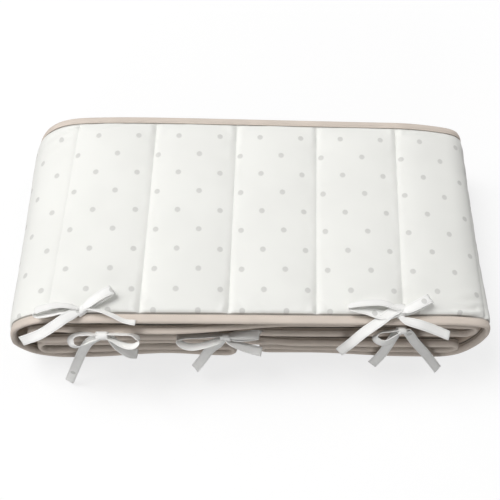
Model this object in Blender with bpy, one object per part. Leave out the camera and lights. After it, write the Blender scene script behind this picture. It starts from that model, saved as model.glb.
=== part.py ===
"""Crib bumper, folded up: one long quilted strip with bound edges and five tied bows.

The strip lies folded back and forth, six layers high.  Its middle runs flat over the top and
wraps down round both ends of the pile, and the bows hang at the front edge.
Z is up, the front edges face -Y, and the origin is on the surface under the middle of it all.
"""

import math
from collections import namedtuple

import bmesh
import bpy
from mathutils import Vector

# Driving dimensions, in metres.
STRIP_LENGTH = 3.323
STRIP_WIDTH = 0.270         # height of the bumper round a cot
CHANNEL_PITCH = 0.100       # from one sewn seam to the next, along the strip
FIRST_SEAM = 0.014          # from the strip's end to its first seam
SEAM_SLANT = 0.050          # how far a seam leans, for every metre across the strip
SLANT_RUN = 0.050           # the ends are square, and the lean starts over this length
SEAM_HALF = 0.0040          # half the thickness at a sewn seam
CROWN_HALF = 0.0095         # half the thickness at the crown of a channel
CROWN_POWER = 0.6           # below 1 makes the channels plump, with tight seams
PUFF_RUN = 0.038            # the filling reaches its full height this far from the binding

# The bound edge: a folded band round the edge of the pad.
PAD_EDGE_INSET = 0.0015     # edge of the pad, inside the band
PAD_EDGE_HALF = 0.0020      # half the thickness of the pad inside the band
PAD_GAP = 0.0003
BAND_WIDTH = 0.0100
BAND_HALF = 0.00335         # half the outer thickness of the band
BAND_WALL = 0.0010
BAND_OUTER_HALF = 0.0029    # the same at the very edge, where the band is folded
LIP_CLEAR = 0.0004          # from the band's lips to where the pad starts to swell

# The ties: flat tapes.
TAPE_WIDTH = 0.0115
TAPE_THICKNESS = 0.0010
KNOT_SIZE = (0.0068, 0.0046, 0.0042)   # half sizes
LOOP_STEPS = 13
TAIL_STEPS = 7

# How finely the strip is built.
CHANNEL_STEPS = (0.0, 0.14, 0.38, 0.62, 0.86)
PAD_ROWS = (PAD_EDGE_INSET, BAND_WIDTH + LIP_CLEAR, 0.0225, 0.080)   # in from the strip's edge
TURN_STEP = math.radians(34)
STRAIGHT_WITHIN = 0.0002
BEND_SAMPLES = 48

# Heights of the centre line of the six layers.
LEVELS = (0.0075, 0.0300, 0.0528, 0.0755, 0.0980, 0.1210)
LEVEL_1, LEVEL_2, LEVEL_3, LEVEL_4, LEVEL_5, LEVEL_6 = LEVELS

RIGHT, LEFT = 0, 180        # headings, in degrees

# The strip's centre line, from one end to the other.  Every row is a place that the line passes:
# the heading there is in degrees, the shift moves that stretch to the back (+) or front (-), and
# fill is how full its channels are, because tight folds press the filling flat.  The front edge
# may stand out by a lean, towards the strip's face.
# Between two rows the line bends along one arc, so a half turn is a fold.
Bend = namedtuple("Bend", "layer x z heading shift fill lean", defaults=(0.0,))
FOLD_LINE = (
    Bend("end inside", -0.060, 0.0880, -6, -0.001, 0.2),
    Bend("inner right", 0.070, LEVEL_4, RIGHT, -0.001, 1.0),
    Bend("inner right", 0.190, LEVEL_4, RIGHT, 0.000, 1.0),
    Bend("inner right", 0.256, 0.0725, 354, 0.000, 0.15),
    Bend("second", 0.256, 0.0950, 174, 0.002, 0.15),
    Bend("second", 0.190, LEVEL_5, LEFT, 0.002, 1.0),
    Bend("second", 0.050, LEVEL_5, LEFT, 0.0015, 1.0),
    Bend("second", -0.100, LEVEL_5, LEFT, -0.007, 1.0),
    Bend("second", -0.190, 0.0965, 184, -0.004, 0.9),
    Bend("second", -0.2430, 0.0860, 198, -0.001, 0.10, 0.0070),
    Bend("inner left", -0.2430, 0.0655, 350, -0.005, 0.10, 0.0030),
    Bend("inner left", -0.190, 0.0740, 6, -0.007, 0.9),
    Bend("inner left", -0.100, LEVEL_4, RIGHT, -0.005, 1.0),
    Bend("inner left", -0.045, 0.0750, RIGHT, -0.005, 0.8),
    Bend("step down", 0.068, LEVEL_3, RIGHT, -0.006, 0.9),
    Bend("third right", 0.190, LEVEL_3, RIGHT, -0.007, 1.0),
    Bend("third right", 0.2455, LEVEL_3, RIGHT, -0.007, 0.1),
    Bend("fourth right", 0.2455, LEVEL_2, LEFT, -0.0075, 0.1),
    Bend("fourth right", 0.190, LEVEL_2, LEFT, -0.0070, 1.0),
    Bend("fourth right", 0.070, LEVEL_2, LEFT, -0.0045, 1.0),
    Bend("fourth right", 0.0295, LEVEL_2, LEFT, -0.003, 0.6),
    Bend("bottom right", 0.0295, LEVEL_1, RIGHT, -0.001, 0.6),
    Bend("bottom right", 0.075, LEVEL_1, RIGHT, -0.001, 1.0),
    Bend("bottom right", 0.205, LEVEL_1, RIGHT, -0.006, 0.9),
    Bend("right wrap", 0.2590, 0.0235, 46, -0.008, 0.25, 0.0020),
    Bend("right wrap", 0.2765, 0.0580, 84, -0.005, 0.5, 0.0025),
    Bend("right wrap", 0.2790, 0.0820, 98, -0.002, 0.4, 0.0030),
    Bend("right wrap", 0.2710, 0.1000, 132, 0.000, 0.4, 0.0055),
    Bend("right wrap", 0.2440, 0.1120, 168, 0.000, 0.7, 0.0045),
    Bend("top", 0.180, LEVEL_6, LEFT, -0.001, 1.0),
    Bend("top", -0.100, LEVEL_6, LEFT, 0.000, 1.0),
    Bend("top", -0.190, 0.1180, 184, 0.000, 1.0, 0.0025),
    Bend("left wrap", -0.2370, 0.1080, 204, 0.001, 0.6, 0.0080),
    Bend("left wrap", -0.2640, 0.0860, 240, 0.000, 0.4, 0.0080),
    Bend("left wrap", -0.2755, 0.0540, 268, -0.004, 0.5, 0.0030),
    Bend("left wrap", -0.2610, 0.0260, 310, -0.008, 0.6, -0.0015),
    Bend("left wrap", -0.2340, 0.0115, 342, -0.008, 0.8),
    Bend("bottom left", -0.200, LEVEL_1, RIGHT, -0.007, 1.0),
    Bend("bottom left", -0.100, LEVEL_1, RIGHT, -0.002, 1.0),
    Bend("bottom left", -0.028, LEVEL_1, RIGHT, -0.005, 0.6),
    Bend("fifth left", -0.028, LEVEL_2, LEFT, -0.004, 0.6),
    Bend("fifth left", -0.120, LEVEL_2, LEFT, -0.004, 1.0),
    Bend("fifth left", -0.190, LEVEL_2, LEFT, -0.007, 1.0),
    Bend("fifth left", -0.239, LEVEL_2, LEFT, -0.009, 0.4),
    Bend("fourth left", -0.239, LEVEL_3, RIGHT, -0.005, 0.4),
    Bend("fourth left", -0.190, LEVEL_3, RIGHT, -0.005, 0.9),
    Bend("fourth left", -0.100, LEVEL_3, RIGHT, -0.0025, 1.0),
    Bend("fourth left", -0.045, 0.0515, -2, -0.0025, 0.6),
    Bend("end outside", 0.060, 0.0435, -5, -0.003, 0.2),
)
TOP_SEAM_X = -0.0219        # the middle of one seam of the top layer, which sets all the others

# The bows.  The knot is a place; the rest are offsets from it.  A loop runs out to its tip and
# is opened by its spread.  A tail runs through its middle to its end, and its face is turned
# that way.
Loop = namedtuple("Loop", "tip spread")
Tail = namedtuple("Tail", "middle end face")
Bow = namedtuple("Bow", "name knot loops tails")
BOWS = (
    Bow("tie_1", (-0.189, -0.1255, 0.1282),
        (Loop((0.032, 0.0115, 0.013), (0.000, -0.001, 0.004)),
         Loop((-0.047, 0.0020, 0.004), (0.000, -0.001, 0.0025))),
        (Tail((-0.034, -0.0170, 0.000), (-0.069, -0.0260, -0.040), (0.10, -0.50, 0.86)),
         Tail((0.030, -0.0110, 0.001), (0.059, -0.0150, 0.000), (0.00, -0.30, 0.95)))),
    Bow("tie_2", (-0.170, -0.1435, 0.1069),
        (Loop((-0.037, -0.0055, 0.000), (0.000, -0.0090, 0.000)),
         Loop((0.039, -0.0060, 0.000), (0.000, -0.0070, 0.000))),
        (Tail((-0.023, -0.0150, -0.028), (-0.048, -0.0280, -0.101), (0.10, -0.80, 0.60)),
         Tail((0.018, -0.0100, -0.014), (0.034, -0.0115, -0.036), (0.00, -0.70, 0.70)))),
    Bow("tie_3", (-0.028, -0.1382, 0.0841),
        (Loop((-0.055, -0.0080, 0.001), (0.000, -0.0040, 0.004)),
         Loop((0.038, -0.0010, 0.004), (0.000, -0.0025, 0.003))),
        (Tail((-0.022, -0.0095, -0.022), (-0.036, -0.0150, -0.081), (0.10, -0.80, 0.60)),
         Tail((0.022, -0.0060, -0.014), (0.043, -0.0075, -0.034), (0.00, -0.60, 0.80)))),
    Bow("tie_4", (0.167, -0.1265, 0.1289),
        (Loop((-0.061, 0.0040, 0.006), (0.000, -0.001, 0.003)),
         Loop((0.034, 0.0135, 0.012), (0.000, -0.001, 0.004))),
        (Tail((-0.033, -0.0170, -0.008), (-0.060, -0.0240, -0.066), (0.00, -0.55, 0.84)),
         Tail((0.028, -0.0120, 0.004), (0.060, -0.0195, -0.018), (0.00, -0.40, 0.92)))),
    Bow("tie_5", (0.172, -0.1374, 0.1065),
        (Loop((-0.029, -0.0075, -0.003), (0.000, -0.0070, -0.001)),),
        (Tail((-0.010, -0.0120, -0.026), (-0.015, -0.0130, -0.097), (0.10, -0.80, 0.60)),
         Tail((0.030, -0.0120, -0.031), (0.069, -0.0180, -0.100), (-0.10, -0.80, 0.60)))),
)

# Colours, linear.
WHITE_COTTON = (0.84, 0.84, 0.80)
BEIGE_BINDING = (0.54, 0.48, 0.42)
WHITE_TAPE = (0.80, 0.79, 0.76)


class FoldLine:
    """The centre line of the folded strip, sampled along its length."""

    def __init__(self, bends):
        self.points = []
        self.shifts = []
        self.fills = []
        self.leans = []
        for start, end in zip(bends, bends[1:]):
            self._add_arc(start, end)
        self.points.append(Vector((bends[-1].x, bends[-1].z)))
        self.shifts.append(bends[-1].shift)
        self.fills.append(bends[-1].fill)
        self.leans.append(bends[-1].lean)
        self.lengths = [0.0]
        for here, there in zip(self.points, self.points[1:]):
            self.lengths.append(self.lengths[-1] + (there - here).length)

    def _add_arc(self, start, end):
        """One cubic whose handles make a quarter or half turn round."""
        first, last = Vector((start.x, start.z)), Vector((end.x, end.z))
        turn = abs((end.heading - start.heading + 180) % 360 - 180)
        handle = (last - first).length / (3 * math.cos(math.radians(turn) / 4) ** 2)
        leave, arrive = heading_vector(start.heading), heading_vector(end.heading)
        controls = (first, first + leave * handle, last - arrive * handle, last)
        for step in range(BEND_SAMPLES):
            t = step / BEND_SAMPLES
            self.points.append(cubic(controls, t))
            eased = t * t * (3 - 2 * t)
            self.shifts.append(start.shift + (end.shift - start.shift) * eased)
            self.fills.append(start.fill + (end.fill - start.fill) * eased)
            self.leans.append(start.lean + (end.lean - start.lean) * eased)

    def locate(self, length):
        """Point, unit tangent, sideways shift, fill and lean at a length along the line."""
        low, high = 0, len(self.lengths) - 1
        while high - low > 1:
            middle = (low + high) // 2
            if self.lengths[middle] <= length:
                low = middle
            else:
                high = middle
        part = (length - self.lengths[low]) / (self.lengths[high] - self.lengths[low])
        point = self.points[low].lerp(self.points[high], part)
        shift, fill, lean = (values[low] + (values[high] - values[low]) * part
                             for values in (self.shifts, self.fills, self.leans))
        before = self.points[max(low - 1, 0)]
        after = self.points[min(high + 1, len(self.points) - 1)]
        tangent = (self.points[low] - before).lerp(after - self.points[high], part)
        tangent = (tangent + self.points[high] - self.points[low]).normalized()
        return point, tangent, shift, fill, lean

    def length_on_top(self, x):
        """The length along the line at which the top layer passes x."""
        for index, (here, there) in enumerate(zip(self.points, self.points[1:])):
            if here.y > LEVEL_6 - 0.001 and there.x <= x < here.x:
                part = (here.x - x) / (here.x - there.x)
                return self.lengths[index] + part * (there - here).length
        raise ValueError("the top layer doesn't pass that place")


def heading_vector(degrees):
    return Vector((math.cos(math.radians(degrees)), math.sin(math.radians(degrees))))


def cubic(controls, t):
    """Point on a cubic Bezier."""
    a, b, c, d = controls
    s = 1 - t
    return a * s ** 3 + b * 3 * s * s * t + c * 3 * s * t * t + d * t ** 3


class Strip:
    """Places points of the flat strip, by length and width, on the folded one."""

    def __init__(self):
        self.line = FoldLine(FOLD_LINE)
        seam = self.line.length_on_top(TOP_SEAM_X)
        self.start = (seam - FIRST_SEAM) % CHANNEL_PITCH
        if self.start + STRIP_LENGTH > self.line.lengths[-1]:
            raise ValueError("the fold line is shorter than the strip")

    def slanted(self, along, across):
        """The length at which the line of a seam passes a width, from its length in the middle."""
        share = min(along, STRIP_LENGTH - along, SLANT_RUN) / SLANT_RUN
        return along - SEAM_SLANT * across * share

    def place(self, along, across, lift):
        """Point at a length, a width from the middle, and a height above the centre line."""
        length = self.start + self.slanted(along, across)
        point, tangent, shift, _, lean = self.line.locate(length)
        lift -= lean * (0.5 - across / STRIP_WIDTH) ** 3
        return Vector((point.x - tangent.y * lift, across + shift, point.y + tangent.x * lift))

    def turn(self, along, further):
        """Angle that the strip turns through between two lengths, at any width."""
        reach = SEAM_SLANT * STRIP_WIDTH / 2
        here = self.line.locate(self.start + along - reach)[1]
        there = self.line.locate(self.start + further + reach)[1]
        return abs(here.angle_signed(there))

    def stations(self, lengths):
        """The lengths given, with more between them wherever the strip turns sharply."""
        result = [lengths[0]]
        for length in lengths[1:]:
            steps = max(1, math.ceil(self.turn(result[-1], length) / TURN_STEP))
            first = result[-1]
            for step in range(1, steps + 1):
                result.append(first + (length - first) * step / steps)
        return result

    def thinned(self, lengths):
        """The lengths without those between which both edges of the strip run straight."""
        edges = [[self.place(length, side * STRIP_WIDTH / 2, 0.0) for length in lengths]
                 for side in (-1, 1)]
        kept = [0]
        for index in range(2, len(lengths)):
            if max(bulge(edge[kept[-1]:index + 1]) for edge in edges) > STRAIGHT_WITHIN:
                kept.append(index - 1)
        return [lengths[index] for index in kept] + [lengths[-1]]


def bulge(places):
    """How far a row of places strays from the straight line between its ends."""
    ahead = (places[-1] - places[0]).normalized()
    between = [place - places[0] for place in places[1:-1]]
    return max((place - ahead * ahead.dot(place)).length for place in between)


def ramp(distance, run):
    """Rises from 0 to 1 over a run, steeply first."""
    share = min(max(distance / run, 0.0), 1.0)
    return 1 - (1 - share) ** 2.2


def pad_half(strip, along, across):
    """Half the thickness of the pad at a place on the strip."""
    fill = strip.line.locate(strip.start + along)[3]
    crown = math.sin(math.pi * ((along - FIRST_SEAM) / CHANNEL_PITCH % 1.0)) ** CROWN_POWER
    full = SEAM_HALF + (CROWN_HALF - SEAM_HALF) * crown * fill
    side = STRIP_WIDTH / 2 - abs(across) - BAND_WIDTH - LIP_CLEAR
    end = min(along, STRIP_LENGTH - along) - BAND_WIDTH - LIP_CLEAR
    rise = min(ramp(side, PUFF_RUN), ramp(end, PUFF_RUN))
    return PAD_EDGE_HALF + (full - PAD_EDGE_HALF) * rise


def closed_mesh(name, work):
    """The mesh of a closed form, with its faces outwards."""
    bmesh.ops.recalc_face_normals(work, faces=work.faces[:])
    if work.calc_volume(signed=True) < 0:
        bmesh.ops.reverse_faces(work, faces=work.faces[:])
    mesh = bpy.data.meshes.new(name)
    work.to_mesh(mesh)
    work.free()
    return mesh


def slab_mesh(name, columns, rows, place):
    """A closed slab: place(column, row, side) gives each point, side being -1 or +1."""
    work = bmesh.new()
    bmesh.ops.create_grid(work, x_segments=columns - 1, y_segments=rows - 1, size=1.0)
    lower = set(work.verts)
    bmesh.ops.extrude_face_region(work, geom=work.faces[:], use_keep_orig=True)
    for vert in work.verts:
        column = round((vert.co.x + 1) / 2 * (columns - 1))
        row = round((vert.co.y + 1) / 2 * (rows - 1))
        vert.co = place(column, row, -1 if vert in lower else 1)
    return closed_mesh(name, work)


def ring_mesh(name, columns, rows, place):
    """A closed ring: both directions of the grid come back to where they start."""
    work = bmesh.new()
    bmesh.ops.create_grid(work, x_segments=columns, y_segments=rows, size=1.0)
    for vert in work.verts:
        column = round((vert.co.x + 1) / 2 * columns) % columns
        row = round((vert.co.y + 1) / 2 * rows) % rows
        vert.co = place(column, row)
    bmesh.ops.remove_doubles(work, verts=work.verts[:], dist=1e-7)
    return closed_mesh(name, work)


def material(name, colour, roughness):
    result = bpy.data.materials.new(name)
    result.use_nodes = True
    result.diffuse_color = (*colour, 1.0)
    shader = result.node_tree.nodes["Principled BSDF"]
    shader.inputs["Base Color"].default_value = (*colour, 1.0)
    shader.inputs["Roughness"].default_value = roughness
    shader.inputs["Metallic"].default_value = 0.0
    return result


def add_object(collection, name, mesh, finish):
    result = bpy.data.objects.new(name, mesh)
    mesh.materials.append(finish)
    mesh.shade_smooth()
    mesh.set_sharp_from_angle(angle=math.radians(60))
    collection.objects.link(result)
    return result


def strip_lengths(strip):
    """Where the pad has its rows of points, from one end of the strip to the other."""
    ends = PAD_ROWS[:3]
    inner = []
    for channel in range(-1, round(STRIP_LENGTH / CHANNEL_PITCH) + 1):
        for share in CHANNEL_STEPS:
            length = FIRST_SEAM + (channel + share) * CHANNEL_PITCH
            if 1.2 * ends[-1] < length < STRIP_LENGTH - 1.2 * ends[-1]:
                inner.append(length)
    return strip.stations([*ends, *inner, *(STRIP_LENGTH - length for length in reversed(ends))])


def pad_mesh(strip, lengths):
    """The filled strip: crowned channels between sewn seams, thin where the band grips it."""
    half_width = STRIP_WIDTH / 2
    rows = [inset - half_width for inset in PAD_ROWS]
    rows += [half_width - inset for inset in reversed(PAD_ROWS)]

    def place(column, row, side):
        along, across = lengths[column], rows[row]
        point = strip.place(along, across, side * pad_half(strip, along, across))
        point.z = max(point.z, 0.0)
        return point

    return slab_mesh("pad", len(lengths), len(rows), place)


def band_profile():
    """The band's section: distance in from the strip's edge, and height."""
    inner_half = BAND_HALF - BAND_WALL
    inner_end = PAD_EDGE_INSET - PAD_GAP
    upper = [(inner_end, inner_half), (BAND_WIDTH, inner_half), (BAND_WIDTH, BAND_HALF),
             (BAND_WALL / 2, BAND_OUTER_HALF)]
    return upper + [(distance, -height) for distance, height in reversed(upper)]


def band_mesh(strip, lengths):
    """The folded band that grips the pad's edge all the way round."""
    half_width = STRIP_WIDTH / 2
    along_edge = [length for length in strip.thinned(lengths)
                  if 1.5 * BAND_WIDTH < length < STRIP_LENGTH - 1.5 * BAND_WIDTH]
    across_edge = (-0.5 * half_width, 0.0, 0.5 * half_width)
    # Every stop is a place on the outline and the way in from it.
    stops = [(0.0, -half_width, 1, 1)]
    stops += [(length, -half_width, 0, 1) for length in along_edge]
    stops += [(STRIP_LENGTH, -half_width, -1, 1)]
    stops += [(STRIP_LENGTH, width, -1, 0) for width in across_edge]
    stops += [(STRIP_LENGTH, half_width, -1, -1)]
    stops += [(length, half_width, 0, -1) for length in reversed(along_edge)]
    stops += [(0.0, half_width, 1, -1)]
    stops += [(0.0, width, 1, 0) for width in reversed(across_edge)]
    profile = band_profile()

    def place(column, row):
        along, across, inward_along, inward_across = stops[column]
        distance, height = profile[row]
        return strip.place(along + inward_along * distance, across + inward_across * distance, height)

    return ring_mesh("edge_band", len(stops), len(profile), place)


def smooth_points(points, count):
    """Points spread along a smooth curve through the points given."""
    ends = [points[0] * 2 - points[1]] + list(points) + [points[-1] * 2 - points[-2]]
    spans = len(points) - 1
    result = []
    for index in range(count):
        place = index / (count - 1) * spans
        span = min(int(place), spans - 1)
        a, b, c, d = ends[span:span + 4]
        controls = (b, b + (c - a) / 6, c - (d - b) / 6, c)
        result.append(cubic(controls, place - span))
    return result


def tape_mesh(name, points, sides):
    """A flat tape along points, with its width along each point's side."""
    def place(column, row, layer):
        before, after = points[max(column - 1, 0)], points[min(column + 1, len(points) - 1)]
        ahead = (after - before).normalized()
        across = (sides[column] - ahead * ahead.dot(sides[column])).normalized()
        up = ahead.cross(across)
        return points[column] + across * (row - 0.5) * TAPE_WIDTH + up * layer * TAPE_THICKNESS / 2

    return slab_mesh(name, len(points), 2, place)


def loop_mesh(name, knot, loop):
    """A tape that leaves the knot, turns round at its tip and comes back."""
    tip, spread = Vector(loop.tip), Vector(loop.spread)
    apart = spread.normalized() * TAPE_THICKNESS
    route = (apart, tip * 0.35 + spread * 0.8, tip * 0.75 + spread, tip,
             tip * 0.75 - spread, tip * 0.35 - spread * 0.8, -apart)
    points = [knot + offset for offset in smooth_points(route, LOOP_STEPS)]
    return tape_mesh(name, points, [tip.cross(spread).normalized()] * LOOP_STEPS)


def tail_mesh(name, knot, tail):
    """A free end of the tape, from the knot through its middle to its tip."""
    route = (Vector((0, 0, 0)), Vector(tail.middle), Vector(tail.end))
    points = [knot + offset for offset in smooth_points(route, TAIL_STEPS)]
    face = Vector(tail.face)
    sides = []
    for index, point in enumerate(points):
        before, after = points[max(index - 1, 0)], points[min(index + 1, TAIL_STEPS - 1)]
        sides.append((after - before).cross(face).normalized())
    return tape_mesh(name, points, sides)


def knot_mesh(name, knot):
    work = bmesh.new()
    bmesh.ops.create_icosphere(work, subdivisions=2, radius=1.0)
    for vert in work.verts:
        vert.co = knot + Vector(size * part for size, part in zip(KNOT_SIZE, vert.co))
    return closed_mesh(name, work)


def build_bow(parts, strands, bow, finish):
    """One bow: the knot, with its loops and free ends joined to it."""
    knot = Vector(bow.knot)
    result = add_object(parts, bow.name, knot_mesh(bow.name, knot), finish)
    meshes = [loop_mesh(f"{bow.name}_loop_{index}", knot, loop) for index, loop in enumerate(bow.loops)]
    meshes += [tail_mesh(f"{bow.name}_tail_{index}", knot, tail) for index, tail in enumerate(bow.tails)]
    for mesh in meshes:
        strand = add_object(strands, mesh.name, mesh, finish)
        strand.hide_render = True
        strand.display_type = "WIRE"
        join = result.modifiers.new(mesh.name, "BOOLEAN")
        join.operation = "UNION"
        join.solver = "EXACT"
        join.object = strand
    return result


def new_collection(name):
    collection = bpy.data.collections.new(name)
    bpy.context.scene.collection.children.link(collection)
    return collection


def centre_on_origin(parts, strands):
    """Moves everything so that the origin is under the middle of the whole part's box."""
    graph = bpy.context.evaluated_depsgraph_get()
    corners = []
    for item in parts.objects:
        corners += [Vector(corner) for corner in item.evaluated_get(graph).bound_box]
    for axis in (0, 1):
        places = [corner[axis] for corner in corners]
        for item in [*parts.objects, *strands.objects]:
            item.location[axis] = -(min(places) + max(places)) / 2


def build():
    for item in list(bpy.data.objects):
        bpy.data.objects.remove(item, do_unlink=True)
    parts = new_collection("crib_bumper")
    strands = new_collection("bow_strands")
    strip = Strip()
    lengths = strip_lengths(strip)
    add_object(parts, "pad", pad_mesh(strip, lengths), material("white_quilt", WHITE_COTTON, 0.85))
    band = band_mesh(strip, lengths)
    add_object(parts, "edge_band", band, material("beige_band", BEIGE_BINDING, 0.85))
    tape = material("white_tape", WHITE_TAPE, 0.8)
    for bow in BOWS:
        build_bow(parts, strands, bow, tape)
    centre_on_origin(parts, strands)


build()
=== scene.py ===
"""The looks of a folded crib bumper: a quilted strip with bound edges and tied tapes."""

import math
from collections import namedtuple

import bmesh
import bpy
import numpy as np
from mathutils import Matrix, Vector


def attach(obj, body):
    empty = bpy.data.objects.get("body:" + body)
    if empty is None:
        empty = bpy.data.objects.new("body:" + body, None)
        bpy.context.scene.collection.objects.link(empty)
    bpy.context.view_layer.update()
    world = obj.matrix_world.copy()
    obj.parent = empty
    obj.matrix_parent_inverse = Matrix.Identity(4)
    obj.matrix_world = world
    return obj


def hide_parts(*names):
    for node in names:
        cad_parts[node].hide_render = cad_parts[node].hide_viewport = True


bl_info = {
    "name": "Crib bumper",
    "version": (1, 0, 0),
    "blender": (4, 5, 0),
    "location": "View3D > Sidebar > Bumper",
    "description": "A quilted crib bumper, folded up, with bound edges and tied tapes",
    "category": "Add Mesh",
}

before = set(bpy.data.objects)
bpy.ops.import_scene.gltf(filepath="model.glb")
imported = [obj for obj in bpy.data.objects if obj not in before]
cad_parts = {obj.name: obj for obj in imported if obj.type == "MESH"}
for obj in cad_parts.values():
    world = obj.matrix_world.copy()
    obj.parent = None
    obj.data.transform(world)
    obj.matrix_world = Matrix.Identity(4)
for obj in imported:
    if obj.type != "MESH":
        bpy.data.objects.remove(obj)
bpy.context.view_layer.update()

MM = 0.001

# The strip, in metres: the part's own driving dimensions, with a little more relief.
STRIP_LENGTH = 3.323
HALF_WIDTH = 0.135
CHANNEL_PITCH = 0.100       # from one sewn seam to the next
FIRST_SEAM = 0.014          # from the strip's end to its first seam
SEAM_SLANT = 0.050          # how far a seam leans, for every metre across the strip
SLANT_RUN = 0.050           # the ends are square, and the lean starts over this length
SEAM_HALF = 0.0036          # half the thickness at a sewn seam
CROWN_RISE = 0.0058         # how much higher the crown of a channel is than its seams
PUFF_RUN = 0.038            # the filling reaches its full height this far from the binding
PUFF_CURVE = 2.2            # and rises to it along this curve
SWELL_RUN = 0.010           # and at the strip's ends the pad has its thickness this far from it
LIP_ROUND = 0.0012          # the cloth bulges out of the binding's lip within this
LIP_BULGE = 0.0030          # by this much, apart from the channel's own crown
HIDDEN_DIP = 0.0012         # and lies this much lower near the lip where it is pressed in the pile
NOTCH_REACH = 0.0042        # at a seam the cloth is drawn in, for this far beside the seam
NOTCH_RUN = 0.010           # and this far from the lip
PAD_EDGE_INSET = 0.0015     # edge of the pad, inside the band
PAD_EDGE_HALF = 0.0020      # half the thickness of the pad inside the band
BAND_WIDTH = 0.0100
BAND_HALF = 0.00335         # half the outer thickness of the band
BAND_WALL = 0.0009
LIP_CLEAR = 0.0010          # width of the groove between the band's lip and the pad
LIP_WIDTH = HALF_WIDTH - BAND_WIDTH - LIP_CLEAR     # the middle of the strip to the lip's groove

# The pile.
TOP_SEAM_X = -0.0219        # the middle of one seam of the top layer, which sets all the others
ORIGIN = (-0.0013, 0.0180, 0.0)     # where the part's frame has the origin of the folds below
LEAN_CURVE = 3              # a front edge that leans out is straight again towards the back
END_NARROWING = 0.0085      # how much further in the pile's left end lies at the back
NARROWS_FROM = -0.11        # it starts there along the pile
NARROWS_OVER = 0.15         # and is whole after this length
NARROWING_CURVE = 1.5
TOP_REACH = 0.035           # creases are pressed into the cloth down to this far below the top layer

# The centre line of the folded strip.  Every row is a place that it passes: the heading there in
# degrees, how far that stretch is shifted to the back, how full its channels are, and how far its
# front edge leans out towards the strip's face.
Bend = namedtuple("Bend", "x z heading shift fill lean", defaults=(0.0,))
LEVELS = (0.0075, 0.0300, 0.0528, 0.0755, 0.0980, 0.1210)
LEVEL_1, LEVEL_2, LEVEL_3, LEVEL_4, LEVEL_5, LEVEL_6 = LEVELS
RIGHT, LEFT = 0, 180
INSIDE = (
    Bend(-0.060, 0.0880, -6, -0.001, 0.2),
    Bend(0.070, LEVEL_4, RIGHT, -0.001, 1.0),
    Bend(0.190, LEVEL_4, RIGHT, 0.000, 1.0),
    Bend(0.256, 0.0725, 354, 0.000, 0.15),
    Bend(0.256, 0.0950, 174, 0.002, 0.15, 0.0030),
    Bend(0.190, LEVEL_5, LEFT, 0.002, 0.8, 0.0075),
    Bend(0.050, LEVEL_5, LEFT, 0.0015, 0.8, 0.0085),
    Bend(-0.100, LEVEL_5, LEFT, -0.0080, 0.8, 0.0085),
    Bend(-0.190, 0.0965, 184, -0.0060, 0.9, 0.0060),
    Bend(-0.2430, 0.0860, 198, -0.001, 0.10, 0.0070),
    Bend(-0.2430, 0.0655, 350, -0.005, 0.10, 0.0030),
    Bend(-0.190, 0.0740, 6, -0.007, 0.9),
    Bend(-0.100, LEVEL_4, RIGHT, -0.005, 1.0),
    Bend(-0.045, 0.0750, RIGHT, -0.005, 0.8),
    Bend(0.068, LEVEL_3, RIGHT, -0.006, 0.9),
    Bend(0.190, LEVEL_3, RIGHT, -0.007, 1.0),
    Bend(0.2455, LEVEL_3, RIGHT, -0.007, 0.1),
    Bend(0.2455, LEVEL_2, LEFT, -0.0075, 0.1),
    Bend(0.190, LEVEL_2, LEFT, -0.0070, 1.0),
    Bend(0.070, LEVEL_2, LEFT, -0.0045, 1.0),
    Bend(0.0295, LEVEL_2, LEFT, -0.003, 0.6),
    Bend(0.0295, LEVEL_1, RIGHT, -0.001, 0.6),
)
OUTSIDE = (
    Bend(0.075, LEVEL_1, RIGHT, -0.001, 1.0),
    Bend(0.205, LEVEL_1, RIGHT, -0.006, 0.9),
    Bend(0.2590, 0.0235, 46, -0.008, 0.25, 0.0020),
    Bend(0.2765, 0.0580, 84, -0.005, 0.5, 0.0025),
    Bend(0.2790, 0.0820, 98, -0.002, 0.4, 0.0030),
    Bend(0.2710, 0.1000, 132, 0.000, 0.4, 0.0055),
    Bend(0.2440, 0.1120, 168, 0.000, 0.7, 0.0045),
    Bend(0.180, LEVEL_6, LEFT, -0.001, 1.0),
    Bend(-0.100, LEVEL_6, LEFT, 0.000, 1.0),
    Bend(-0.190, 0.1185, 184, 0.000, 0.85, 0.0025),
    Bend(-0.2370, 0.1085, 204, 0.001, 0.35, 0.0080),
    Bend(-0.2640, 0.0860, 240, 0.000, 0.4, 0.0080),
    Bend(-0.2755, 0.0540, 268, -0.004, 0.5, 0.0030),
    Bend(-0.2610, 0.0260, 310, -0.008, 0.6, -0.0015),
    Bend(-0.2340, 0.0115, 342, -0.008, 0.8),
    Bend(-0.200, LEVEL_1, RIGHT, -0.007, 1.0),
    Bend(-0.100, LEVEL_1, RIGHT, -0.002, 1.0),
    Bend(-0.028, LEVEL_1, RIGHT, -0.005, 0.6),
)
UNDERNEATH = (
    Bend(-0.028, LEVEL_2, LEFT, -0.004, 0.6),
    Bend(-0.120, LEVEL_2, LEFT, -0.004, 1.0),
    Bend(-0.190, LEVEL_2, LEFT, -0.007, 1.0),
    Bend(-0.239, LEVEL_2, LEFT, -0.009, 0.4),
    Bend(-0.239, LEVEL_3, RIGHT, -0.005, 0.4),
    Bend(-0.190, LEVEL_3, RIGHT, -0.005, 0.9),
    Bend(-0.100, LEVEL_3, RIGHT, -0.0025, 1.0),
    Bend(-0.045, 0.0515, -2, -0.0025, 0.6),
    Bend(0.060, 0.0435, -5, -0.003, 0.2),
)
BEND_SAMPLES = 64
HIDDEN_BENDS = 4            # the last bends of the outside that nobody sees

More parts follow.
